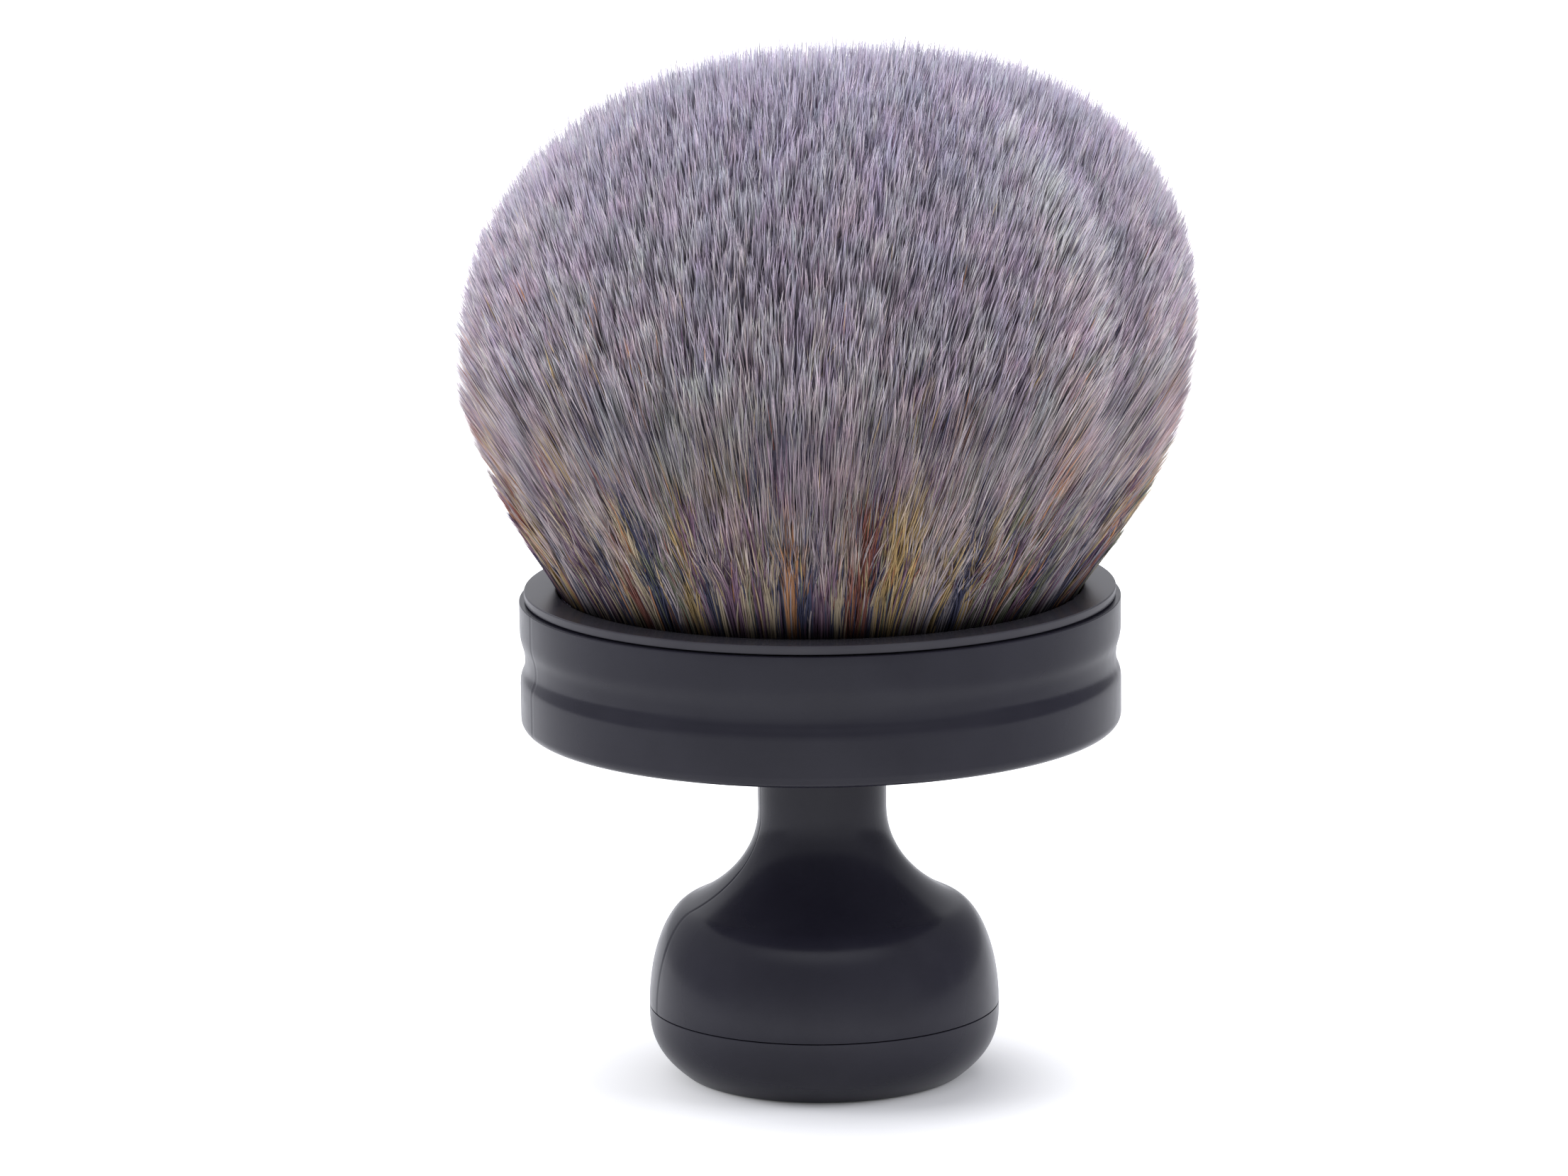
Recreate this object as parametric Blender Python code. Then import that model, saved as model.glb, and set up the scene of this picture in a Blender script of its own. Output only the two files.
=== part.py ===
# A large round makeup brush that stands on its own handle.
# A wide flat collar carries a domed tuft of fibres. Below the collar a short neck leads to a knob,
# so that the collar rests across the fingers and the neck lies between two of them.
# Metres, +Z up. The origin is the centre of the flat foot under the knob.

import math
import random

import bmesh
import bpy
from mathutils import Vector
from mathutils.geometry import interpolate_bezier

for old in list(bpy.data.objects):
    bpy.data.objects.remove(old)

# Clearance that pieces keep where they touch, and how finely round pieces are turned
SEAT_GAP = 0.0003
OUTER_SEGMENTS = 48
INNER_SEGMENTS = 32
SMALL_SEGMENTS = 24
MERGE_DISTANCE = 0.00001
CUT_OVERRUN = 0.0005

# Base cap, which closes the knob and is the foot that the brush stands on
KNOB_RADIUS = 0.0176
FOOT_INSET = 0.0035
FOOT_RISE = 0.0062
CAP_BAND = 0.0006
CAP_FLOOR = 0.0018
CAP_SKIRT_WALL = 0.0014
CAP_SKIRT_RISE = 0.0035
FOOT_PULL_shares = (0.55, 0.54)
BAND_PULL_share = 0.55

# Knob and neck, which are one moulding with the collar
KNOB_WALL = 0.0022
KNOB_RISE = 0.0102
SHOULDER_INSET = 0.00385
SHOULDER_SLOPE = math.radians(67)
NECK_RISE = 0.00965
NECK_RADIUS = 0.00645
NECK_LENGTH = 0.00865
NECK_FILLET = 0.0008
ROOF_BELOW_SHOULDER = 0.0010
ROOF_FLAT_share = 0.5
KNOB_PULL_share = 0.47
SHOULDER_PULL_share = 0.63
NECK_PULL_share = 0.58

# Collar, the shallow round shell at the top of the same moulding
COLLAR_RADIUS = 0.0300
COLLAR_HEIGHT = 0.01285
COLLAR_WALL = 0.0018
COLLAR_FLOOR = 0.0022
COLLAR_EDGE_ROUND = 0.0012
COLLAR_RIM_BEVEL = 0.0002
GROOVE_DEPTH = 0.0006
GROOVE_START_share = 0.41
GROOVE_DEEPEST_share = 0.52
GROOVE_END_share = 0.79

# Tuft cup, which holds the fibres and whose flange is the ring on top of the collar
CUP_WALL = 0.0018
CUP_FLOOR = 0.0020
FLANGE_INSET = 0.0004
FLANGE_THICKNESS = 0.0010
FLANGE_ROUND = 0.0004
BOSS_RADIUS = 0.0040
BOSS_ROOF = 0.0010

# Screw and washer that pull the cup down onto the collar from inside the knob
SCREW_RADIUS = 0.0015
SCREW_HEAD_RADIUS = 0.0029
SCREW_HEAD_HEIGHT = 0.0020
SCREW_POINT = 0.0012
SCREW_SLOT_WIDTH = 0.0007
SCREW_SLOT_DEPTH = 0.0011
SCREW_SLOT_LENGTH_share = 1.2
WASHER_RADIUS = 0.0042
WASHER_THICKNESS = 0.0008

# Ballast ring in the knob
WEIGHT_HEIGHT = 0.0060
WEIGHT_BEVEL = 0.0006
WEIGHT_CLEARANCE = 0.0008

# Roots of the fibres: a band round the bundle, the resin inside it and the slice that fibres rise from
BAND_WALL = 0.0008
RESIN_OVER_BOSS = 0.0012
ROOT_DEPTH = 0.0005
ROOT_SLICE = 0.0013

# Tuft: widest level above the flange, dome above that, and a lean towards +X that the real one has.
# The inner fibres end on the dome, and the outer ones end lower and lower down the flared skirt.
HEAD_RADIUS = 0.0361
BELLY_RISE = 0.0222
DOME_HEIGHT = 0.0323
HEAD_LEAN = 0.0044
LEAN_POWER = 1.6
DOME_FULLNESS = 2.4
DOME_CROWD_share = 0.70
LOWEST_TIP_share = 0.34
SKIRT_POWER = 1.5
SPLAY_POWER = 1.2
STRAND_ROWS = 8
STRAND_SEED = 7
STRAND_GROOVE_share = 0.12
STRAND_SWELL_share = 1.4
ROOT_SWIRL = math.radians(50)
ROOT_SCATTER_share = 0.14
KNEE_LEVEL_shares = (0.36, 0.94)
TIP_SPREAD_share = 0.35
TIP_SHORT_share = 0.035

# Levels and radii that follow from the sizes above
SEAM_LEVEL = FOOT_RISE + CAP_BAND
BODY_LEVEL = SEAM_LEVEL + SEAT_GAP
SHOULDER_LEVEL = BODY_LEVEL + KNOB_RISE
NECK_LEVEL = SHOULDER_LEVEL + NECK_RISE
COLLAR_LEVEL = NECK_LEVEL + NECK_LENGTH
RIM_LEVEL = COLLAR_LEVEL + COLLAR_HEIGHT
CUP_LEVEL = COLLAR_LEVEL + COLLAR_FLOOR + SEAT_GAP
CUP_FLOOR_LEVEL = CUP_LEVEL + CUP_FLOOR
FLANGE_LEVEL = RIM_LEVEL + SEAT_GAP
TOP_RING_LEVEL = FLANGE_LEVEL + FLANGE_THICKNESS
ROOT_LEVEL = TOP_RING_LEVEL - ROOT_DEPTH
RESIN_LEVEL = ROOT_LEVEL - ROOT_SLICE - SEAT_GAP
BOSS_LEVEL = RESIN_LEVEL - RESIN_OVER_BOSS - SEAT_GAP
PILOT_LEVEL = BOSS_LEVEL - BOSS_ROOF
ROOF_LEVEL = SHOULDER_LEVEL - ROOF_BELOW_SHOULDER
SKIRT_LEVEL = SEAM_LEVEL + CAP_SKIRT_RISE
CAVITY_RADIUS = KNOB_RADIUS - KNOB_WALL
SKIRT_OUTER_RADIUS = CAVITY_RADIUS - SEAT_GAP
SKIRT_INNER_RADIUS = SKIRT_OUTER_RADIUS - CAP_SKIRT_WALL
SCREW_HOLE_RADIUS = SCREW_RADIUS + SEAT_GAP
COLLAR_INNER_RADIUS = COLLAR_RADIUS - COLLAR_WALL
CUP_RADIUS = COLLAR_INNER_RADIUS - SEAT_GAP
CUP_INNER_RADIUS = CUP_RADIUS - CUP_WALL
ROOT_RADIUS = CUP_INNER_RADIUS - SEAT_GAP
BELLY_LEVEL = TOP_RING_LEVEL + BELLY_RISE


def finish(name, color, roughness, metallic=0.0):
    """One plain material, in the colour that the piece has."""
    material = bpy.data.materials.new(name)
    material.use_nodes = True
    shader = material.node_tree.nodes["Principled BSDF"]
    shader.inputs["Base Color"].default_value = (*color, 1)
    shader.inputs["Roughness"].default_value = roughness
    shader.inputs["Metallic"].default_value = metallic
    material.diffuse_color = (*color, 1)
    return material


def add_piece(name, bm, material):
    """Turns a finished bmesh into a named object."""
    mesh = bpy.data.meshes.new(name)
    bm.to_mesh(mesh)
    bm.free()
    mesh.materials.append(material)
    mesh.shade_smooth()
    mesh.set_sharp_from_angle(angle=math.radians(35))
    piece = bpy.data.objects.new(name, mesh)
    bpy.context.scene.collection.objects.link(piece)
    return piece


def curve(start, start_pull, end_pull, end, steps):
    """Points of a smooth curve between two (radius, level) points, without the first one.
    Each pull is where the curve heads for, as an offset from its own end."""
    handles = [Vector(start), Vector(start) + Vector(start_pull), Vector(end) + Vector(end_pull), Vector(end)]
    corners = [Vector((h.x, 0, h.y)) for h in handles]
    points = interpolate_bezier(*corners, steps + 1)
    return [(p.x, p.z) for p in points[1:]]


def quarter_arc(centre, width, height, first, last, steps):
    """Points of an elliptical arc round a (radius, level) centre, both ends included."""
    points = []
    for i in range(steps + 1):
        angle = first + (last - first) * i / steps
        points.append((centre[0] + width * math.cos(angle), centre[1] + height * math.sin(angle)))
    return points


def turn(outline, segments, closed):
    """A solid of revolution from (radius, level) points. A closed outline goes round a bore,
    and an open one starts and ends on the axis."""
    bm = bmesh.new()
    verts = [bm.verts.new((radius, 0, level)) for radius, level in outline]
    edges = [bm.edges.new(pair) for pair in zip(verts, verts[1:])]
    if closed:
        edges.append(bm.edges.new((verts[-1], verts[0])))
    bmesh.ops.spin(bm, geom=verts + edges, axis=(0, 0, 1), cent=(0, 0, 0), angle=math.tau,
                   steps=segments, use_merge=True)
    bmesh.ops.remove_doubles(bm, verts=bm.verts, dist=MERGE_DISTANCE)
    bmesh.ops.recalc_face_normals(bm, faces=bm.faces)
    centres = [v for v in bm.verts if v.co.xy.length < MERGE_DISTANCE
               and all(abs(f.normal.z) > math.cos(math.radians(1)) for f in v.link_faces)]
    bmesh.ops.dissolve_verts(bm, verts=centres)
    return bm


def make_base_cap(material):
    foot_radius = KNOB_RADIUS - FOOT_INSET
    outline = [(0, 0), (foot_radius, 0)]
    foot_pull = (FOOT_INSET * FOOT_PULL_shares[0], FOOT_RISE * FOOT_PULL_shares[1])
    outline += curve((foot_radius, 0), foot_pull, (0, -FOOT_RISE * BAND_PULL_share),
                     (KNOB_RADIUS, FOOT_RISE), 7)
    outline += [(KNOB_RADIUS, SEAM_LEVEL), (SKIRT_OUTER_RADIUS, SEAM_LEVEL)]
    outline += [(SKIRT_OUTER_RADIUS, SKIRT_LEVEL), (SKIRT_INNER_RADIUS, SKIRT_LEVEL)]
    outline += [(SKIRT_INNER_RADIUS, CAP_FLOOR), (0, CAP_FLOOR)]
    return add_piece("base_cap", turn(outline, OUTER_SEGMENTS, closed=False), material)


def knob_and_neck_side():
    """From the seam up over the knob's shoulder and along the hollow curve into the neck."""
    shoulder = (KNOB_RADIUS - SHOULDER_INSET, SHOULDER_LEVEL)
    neck = (NECK_RADIUS, NECK_LEVEL)
    pull = SHOULDER_INSET * SHOULDER_PULL_share
    inward = pull * math.sin(SHOULDER_SLOPE)
    upward = pull * math.cos(SHOULDER_SLOPE)
    side = [(KNOB_RADIUS, BODY_LEVEL)]
    side += curve(side[0], (0, KNOB_RISE * KNOB_PULL_share), (inward, -upward), shoulder, 8)
    side += curve(shoulder, (-inward, upward), (0, -NECK_RISE * NECK_PULL_share), neck, 8)
    return side


def collar_side():
    """From the collar's underside up its outside, over the shallow groove, to the rim."""
    side = quarter_arc((COLLAR_RADIUS - COLLAR_EDGE_ROUND, COLLAR_LEVEL + COLLAR_EDGE_ROUND),
                       COLLAR_EDGE_ROUND, COLLAR_EDGE_ROUND, -math.pi / 2, 0, 4)
    start = (COLLAR_RADIUS, COLLAR_LEVEL + COLLAR_HEIGHT * GROOVE_START_share)
    deepest = (COLLAR_RADIUS - GROOVE_DEPTH, COLLAR_LEVEL + COLLAR_HEIGHT * GROOVE_DEEPEST_share)
    end = (COLLAR_RADIUS, COLLAR_LEVEL + COLLAR_HEIGHT * GROOVE_END_share)
    lower_pull = (deepest[1] - start[1]) / 2
    upper_pull = (end[1] - deepest[1]) / 2
    side.append(start)
    side += curve(start, (0, lower_pull), (0, -lower_pull), deepest, 4)
    side += curve(deepest, (0, upper_pull), (0, -upper_pull), end, 4)
    side += [(COLLAR_RADIUS, RIM_LEVEL - COLLAR_RIM_BEVEL), (COLLAR_RADIUS - COLLAR_RIM_BEVEL, RIM_LEVEL)]
    return side


def make_handle_body(material):
    outline = knob_and_neck_side()
    fillet_centre = (NECK_RADIUS + NECK_FILLET, COLLAR_LEVEL - NECK_FILLET)
    outline += quarter_arc(fillet_centre, NECK_FILLET, NECK_FILLET, math.pi, math.pi / 2, 3)
    outline += collar_side()
    outline += [(COLLAR_INNER_RADIUS, RIM_LEVEL), (COLLAR_INNER_RADIUS, COLLAR_LEVEL + COLLAR_FLOOR)]
    outline += [(SCREW_HOLE_RADIUS, COLLAR_LEVEL + COLLAR_FLOOR), (SCREW_HOLE_RADIUS, ROOF_LEVEL)]
    roof_radius = CAVITY_RADIUS * ROOF_FLAT_share
    spring_level = SKIRT_LEVEL + SEAT_GAP
    outline += quarter_arc((roof_radius, spring_level), CAVITY_RADIUS - roof_radius, ROOF_LEVEL - spring_level,
                           math.pi / 2, 0, 6)
    outline.append((CAVITY_RADIUS, BODY_LEVEL))
    return add_piece("handle_body", turn(outline, OUTER_SEGMENTS, closed=True), material)


def make_tuft_cup(material):
    flange_radius = COLLAR_RADIUS - FLANGE_INSET
    outline = [(0, BOSS_LEVEL), (BOSS_RADIUS, BOSS_LEVEL), (BOSS_RADIUS, CUP_FLOOR_LEVEL)]
    outline += [(CUP_INNER_RADIUS, CUP_FLOOR_LEVEL), (CUP_INNER_RADIUS, TOP_RING_LEVEL - FLANGE_ROUND)]
    outline.append((CUP_INNER_RADIUS + FLANGE_ROUND, TOP_RING_LEVEL))
    outline += quarter_arc((flange_radius - FLANGE_ROUND, TOP_RING_LEVEL - FLANGE_ROUND),
                           FLANGE_ROUND, FLANGE_ROUND, math.pi / 2, 0, 3)
    outline += [(flange_radius, FLANGE_LEVEL), (CUP_RADIUS, FLANGE_LEVEL), (CUP_RADIUS, CUP_LEVEL)]
    outline += [(SCREW_HOLE_RADIUS, CUP_LEVEL), (SCREW_HOLE_RADIUS, PILOT_LEVEL), (0, PILOT_LEVEL)]
    return add_piece("tuft_cup", turn(outline, OUTER_SEGMENTS, closed=False), material)


def make_knot_band(material):
    inner_radius = ROOT_RADIUS - BAND_WALL
    bottom = CUP_FLOOR_LEVEL + SEAT_GAP
    outline = [(ROOT_RADIUS, RESIN_LEVEL), (inner_radius, RESIN_LEVEL), (inner_radius, bottom),
               (ROOT_RADIUS, bottom)]
    return add_piece("knot_band", turn(outline, OUTER_SEGMENTS, closed=True), material)


def make_root_resin(material):
    radius = ROOT_RADIUS - BAND_WALL - SEAT_GAP
    bottom = CUP_FLOOR_LEVEL + SEAT_GAP
    boss_socket = BOSS_RADIUS + SEAT_GAP
    outline = [(0, BOSS_LEVEL + SEAT_GAP), (boss_socket, BOSS_LEVEL + SEAT_GAP), (boss_socket, bottom)]
    outline += [(radius, bottom), (radius, RESIN_LEVEL), (0, RESIN_LEVEL)]
    return add_piece("root_resin", turn(outline, OUTER_SEGMENTS, closed=False), material)


def make_base_weight(material):
    radius = SKIRT_INNER_RADIUS - SEAT_GAP
    hole_radius = WASHER_RADIUS + WEIGHT_CLEARANCE
    bottom = CAP_FLOOR + SEAT_GAP
    top = bottom + WEIGHT_HEIGHT
    outline = [(hole_radius, bottom), (radius - WEIGHT_BEVEL, bottom), (radius, bottom + WEIGHT_BEVEL)]
    outline += [(radius, top - WEIGHT_BEVEL), (radius - WEIGHT_BEVEL, top), (hole_radius, top)]
    return add_piece("base_weight", turn(outline, INNER_SEGMENTS, closed=True), material)


def make_screw_washer(material):
    top = ROOF_LEVEL - SEAT_GAP
    bottom = top - WASHER_THICKNESS
    outline = [(SCREW_HOLE_RADIUS, bottom), (WASHER_RADIUS, bottom), (WASHER_RADIUS, top),
               (SCREW_HOLE_RADIUS, top)]
    return add_piece("screw_washer", turn(outline, SMALL_SEGMENTS, closed=True), material)


def slot_cutter(name, length, width, bottom, top):
    """A box across the screw's head, used only for cutting."""
    bm = bmesh.new()
    bmesh.ops.create_cube(bm, size=1)
    bmesh.ops.scale(bm, vec=(length, width, top - bottom), verts=bm.verts)
    bmesh.ops.translate(bm, vec=(0, 0, (top + bottom) / 2), verts=bm.verts)
    mesh = bpy.data.meshes.new(name)
    bm.to_mesh(mesh)
    bm.free()
    cutter = bpy.data.objects.new(name, mesh)
    cutter.hide_render = True
    cutter.display_type = "WIRE"
    bpy.context.scene.collection.objects.link(cutter)
    return cutter


def make_neck_screw(material):
    seat = ROOF_LEVEL - SEAT_GAP - WASHER_THICKNESS - SEAT_GAP
    head_bottom = seat - SCREW_HEAD_HEIGHT
    head_round = SCREW_HEAD_HEIGHT / 2
    tip = PILOT_LEVEL - SEAT_GAP
    outline = [(0, head_bottom)]
    outline += quarter_arc((SCREW_HEAD_RADIUS - head_round, head_bottom + head_round),
                           head_round, head_round, -math.pi / 2, 0, 3)
    outline += [(SCREW_HEAD_RADIUS, seat), (SCREW_RADIUS, seat), (SCREW_RADIUS, tip - SCREW_POINT)]
    outline += [(SCREW_RADIUS / 2, tip), (0, tip)]
    screw = add_piece("neck_screw", turn(outline, SMALL_SEGMENTS, closed=False), material)
    slot_top = head_bottom + SCREW_SLOT_DEPTH
    slot_length = SCREW_HEAD_RADIUS * SCREW_SLOT_LENGTH_share
    for name, length, width in (("slot_along_x", slot_length, SCREW_SLOT_WIDTH),
                                ("slot_along_y", SCREW_SLOT_WIDTH, slot_length)):
        cut = screw.modifiers.new(name, "BOOLEAN")
        cut.operation = "DIFFERENCE"
        cut.solver = "EXACT"
        cut.object = slot_cutter(name, length, width, head_bottom - CUT_OVERRUN, slot_top)
    return screw


def round_lattice(bm, chance):
    """A disc of even triangles, made from a hexagon whose rows are bent into circles.
    The rows swirl and scatter a little, so that no straight alley runs through the fibres."""
    sector = math.tau / 6
    first_corner = math.pi / 2
    bmesh.ops.create_circle(bm, cap_ends=True, cap_tris=True, segments=6, radius=ROOT_RADIUS)
    bmesh.ops.subdivide_edges(bm, edges=bm.edges[:], cuts=STRAND_ROWS - 1, use_grid_fill=True)
    for vert in bm.verts:
        distance = vert.co.xy.length
        if distance < MERGE_DISTANCE:
            continue
        around = (math.atan2(vert.co.y, vert.co.x) - first_corner) % math.tau
        number = int(around / sector)
        angle = around - number * sector
        row_share = distance * (math.sin(angle) + math.sin(sector - angle)) / (ROOT_RADIUS * math.sin(sector))
        along_share = math.sin(angle) / (math.sin(angle) + math.sin(sector - angle))
        turned = first_corner + (number + along_share) * sector + ROOT_SWIRL * row_share
        vert.co = (ROOT_RADIUS * row_share * math.cos(turned), ROOT_RADIUS * row_share * math.sin(turned), 0)
        if not vert.is_boundary:
            scatter = ROOT_SCATTER_share * ROOT_RADIUS / STRAND_ROWS
            vert.co.x += chance.uniform(-scatter, scatter)
            vert.co.y += chance.uniform(-scatter, scatter)


def head_point(root, height_share):
    """Where a fibre from a point of the root disc is at a share of its own height.
    Tips cover the dome and the skirt under it evenly, and no two fibres meet."""
    area_share = min(root.length / ROOT_RADIUS, 1) ** 2
    outward = root.normalized()
    up = max(1 - area_share / DOME_CROWD_share, 0)
    down = max(area_share - DOME_CROWD_share, 0) / (1 - DOME_CROWD_share) * (1 - LOWEST_TIP_share)
    tip_radius = HEAD_RADIUS * (1 - up * up) ** (1 / DOME_FULLNESS)
    tip_radius -= (HEAD_RADIUS - ROOT_RADIUS) * down ** SKIRT_POWER
    tip_level = BELLY_LEVEL + DOME_HEIGHT * up ** (2 / DOME_FULLNESS) - (BELLY_LEVEL - ROOT_LEVEL) * down
    splay = 1 - (1 - height_share) ** SPLAY_POWER
    radius = root.length + (tip_radius - root.length) * splay
    level = ROOT_LEVEL + (tip_level - ROOT_LEVEL) * height_share
    lean_share = (level - ROOT_LEVEL) / (BELLY_LEVEL + DOME_HEIGHT - ROOT_LEVEL)
    lean = HEAD_LEAN * lean_share ** LEAN_POWER
    return Vector((outward.x * radius + lean, outward.y * radius, level))


def grow_strand(bm, foot, chance):
    """Raises one three-sided fibre from its triangle on the slice, over two knees to a point."""
    centre = foot.calc_center_median().xy
    corners = [vert.co.xy - centre for vert in foot.verts]
    short = 1 - chance.uniform(0, TIP_SHORT_share)
    side = foot
    for knee_share in KNEE_LEVEL_shares:
        side = bmesh.ops.extrude_discrete_faces(bm, faces=[side])["faces"][0]
        for vert, corner in zip(side.verts, corners):
            vert.co = head_point(centre + corner * STRAND_SWELL_share, knee_share * short)
    turned = chance.uniform(0, math.tau)
    reach = TIP_SPREAD_share * corners[0].length
    tip_root = centre + Vector((math.cos(turned), math.sin(turned))) * reach
    poked = bmesh.ops.poke(bm, faces=[side])
    poked["verts"][0].co = head_point(tip_root, short)


def make_bristle_tuft(material):
    chance = random.Random(STRAND_SEED)
    bm = bmesh.new()
    round_lattice(bm, chance)
    bmesh.ops.translate(bm, vec=(0, 0, ROOT_LEVEL), verts=bm.verts)
    cells = bm.faces[:]
    rim = [edge for edge in bm.edges if edge.is_boundary]
    skirt = bmesh.ops.extrude_edge_only(bm, edges=rim)["geom"]
    lowered = [item for item in skirt if isinstance(item, bmesh.types.BMVert)]
    bmesh.ops.translate(bm, vec=(0, 0, -ROOT_SLICE), verts=lowered)
    bottom = [item for item in skirt if isinstance(item, bmesh.types.BMEdge)]
    bmesh.ops.contextual_create(bm, geom=bottom)
    bmesh.ops.recalc_face_normals(bm, faces=bm.faces)
    groove = STRAND_GROOVE_share * ROOT_RADIUS / STRAND_ROWS
    bmesh.ops.inset_individual(bm, faces=cells, thickness=groove, use_even_offset=True)
    for foot in cells:
        grow_strand(bm, foot, chance)
    bmesh.ops.recalc_face_normals(bm, faces=bm.faces)
    return add_piece("bristle_tuft", bm, material)


def main():
    black_plastic = (0.022, 0.022, 0.026)
    make_base_cap(finish("base_cap_plastic", black_plastic, 0.36))
    make_handle_body(finish("handle_plastic", black_plastic, 0.36))
    make_tuft_cup(finish("cup_plastic", black_plastic, 0.36))
    make_bristle_tuft(finish("lilac_grey_fibre", (0.30, 0.27, 0.35), 0.6))
    make_knot_band(finish("band_nylon", (0.55, 0.54, 0.50), 0.5))
    make_root_resin(finish("amber_resin", (0.20, 0.13, 0.05), 0.3))
    make_neck_screw(finish("screw_steel", (0.56, 0.57, 0.58), 0.3, 1.0))
    make_screw_washer(finish("washer_steel", (0.60, 0.61, 0.62), 0.35, 1.0))
    make_base_weight(finish("weight_steel", (0.40, 0.40, 0.41), 0.45, 1.0))


main()
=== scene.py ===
# %% [markdown]
# # A large round makeup brush
#
# The brush stands on its own handle. A dome of soft fibre rises from a wide flat collar, a short neck
# hangs below the collar, and a black knob closes the lower end. These cells dress the measured model of
# that brush: they keep its sizes and give it turned plastic, thousands of single fibres and finishes.
#
# The measured model comes in first and stays fixed. The sizes of collar, knob and cup are read from it.

# %% Load the fixed frame
import math

import bmesh
import bpy
import numpy as np
from mathutils import Matrix, Vector, kdtree, noise
from mathutils.geometry import interpolate_bezier


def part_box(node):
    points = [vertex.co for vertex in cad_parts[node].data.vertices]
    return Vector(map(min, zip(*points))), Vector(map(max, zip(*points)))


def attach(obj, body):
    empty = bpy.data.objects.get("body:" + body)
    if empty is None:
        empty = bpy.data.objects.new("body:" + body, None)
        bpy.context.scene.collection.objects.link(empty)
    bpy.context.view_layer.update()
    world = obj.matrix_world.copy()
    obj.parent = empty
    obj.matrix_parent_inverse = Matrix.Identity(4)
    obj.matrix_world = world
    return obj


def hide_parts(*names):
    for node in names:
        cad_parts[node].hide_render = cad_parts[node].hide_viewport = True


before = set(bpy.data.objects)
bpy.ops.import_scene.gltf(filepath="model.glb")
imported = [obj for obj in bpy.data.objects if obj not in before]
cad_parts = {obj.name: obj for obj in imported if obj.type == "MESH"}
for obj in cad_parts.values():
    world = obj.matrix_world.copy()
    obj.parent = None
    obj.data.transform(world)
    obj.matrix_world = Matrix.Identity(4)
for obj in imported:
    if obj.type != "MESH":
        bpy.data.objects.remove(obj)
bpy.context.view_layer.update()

MM = 0.001
print("nodes:", ", ".join(sorted(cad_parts)))

# %% [markdown]
# ## The camera
#
# The brush is seen from a little above, through a long lens, so the rings of the collar are flat ellipses
# and hardly converge. The camera could be turned by hand until it fits. Here it is set from a few plain
# values, which are the point it looks at, its distance, its height above the horizon, a small roll and
# its lens, because then each of them can be changed by itself.

# %% Set up the camera
CAMERA_AIM = Vector((-3.57 * MM, 0, 49.33 * MM))
CAMERA_DISTANCE = 735 * MM
CAMERA_HEIGHT = math.radians(11.6)
CAMERA_ROLL = math.radians(0.69)
LENS_LENGTH, SENSOR_WIDTH = 169.3, 36
NEAREST_SEEN, FARTHEST_SEEN = 0.05, 20

backward = Vector((0, -math.cos(CAMERA_HEIGHT), math.sin(CAMERA_HEIGHT)))
level_right = Vector((1, 0, 0))
level_up = backward.cross(level_right)
right = level_right * math.cos(CAMERA_ROLL) - level_up * math.sin(CAMERA_ROLL)
up = level_up * math.cos(CAMERA_ROLL) + level_right * math.sin(CAMERA_ROLL)

camera_data = bpy.data.cameras.new("brush_camera")
camera_data.lens, camera_data.sensor_width = LENS_LENGTH, SENSOR_WIDTH
camera_data.clip_start, camera_data.clip_end = NEAREST_SEEN, FARTHEST_SEEN
camera = bpy.data.objects.new("brush_camera", camera_data)
turned = Matrix((right, up, backward)).transposed().to_4x4()
camera.matrix_world = Matrix.Translation(CAMERA_AIM + backward * CAMERA_DISTANCE) @ turned
bpy.context.scene.collection.objects.link(camera)
bpy.context.scene.camera = camera
print("camera at", [round(v, 3) for v in camera.matrix_world.translation])

# %% [markdown]
# ## Helpers for turned pieces
#
# Collar, neck, knob, foot and ring are all round, as if they came off a lathe. Such a piece is easiest
# to make from its half outline, which is spun about the axis. A full spin meets itself, so its last
# copy is merged with its first, and points on the axis are merged too. Round corners are arcs, and
# swelling or hollow sides are smooth curves between two points with a pull at each end.

# %% Outline and turning helpers
def arc(centre, width, height, first, last, steps):
    """Points of an arc round a (radius, level) centre, both ends included."""
    angles = [math.radians(first + (last - first) * i / steps) for i in range(steps + 1)]
    return [(centre[0] + width * math.cos(a), centre[1] + height * math.sin(a)) for a in angles]


def swell(start, start_pull, end_pull, end, steps):
    """Points of a smooth curve between two (radius, level) points, without the first one."""
    start, end = Vector(start), Vector(end)
    handles = [start, start + Vector(start_pull), end + Vector(end_pull), end]
    points = interpolate_bezier(*[Vector((h.x, 0, h.y)) for h in handles], steps + 1)
    return [(p.x, p.z) for p in points[1:]]


SAME_POINT = 0.002 * MM


def turn(outline, steps=192, closed=False):
    """Spins a (radius, level) outline in millimetres into a closed round shape."""
    bm = bmesh.new()
    verts = [bm.verts.new((radius * MM, 0, level * MM)) for radius, level in outline]
    edges = [bm.edges.new(pair) for pair in zip(verts, verts[1:])]
    if closed:
        edges.append(bm.edges.new((verts[-1], verts[0])))
    bmesh.ops.spin(bm, geom=verts + edges, axis=(0, 0, 1), cent=(0, 0, 0), angle=math.tau,
                   steps=steps, use_merge=True)
    bmesh.ops.remove_doubles(bm, verts=bm.verts, dist=SAME_POINT)
    bmesh.ops.recalc_face_normals(bm, faces=bm.faces)
    return bm


def add_piece(name, mesh, material, slot, *stands_for):
    """Puts a finished mesh in the scene as a piece that goes with the brush."""
    mesh.name = name
    mesh.materials.clear()
    mesh.materials.append(material)
    piece = bpy.data.objects.new(name, mesh)
    bpy.context.scene.collection.objects.link(piece)
    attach(piece, "root")
    if stands_for:
        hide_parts(*stands_for)
    print(f"{name}: {len(mesh.vertices)} points, {len(mesh.loop_triangles)} triangles")


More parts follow.
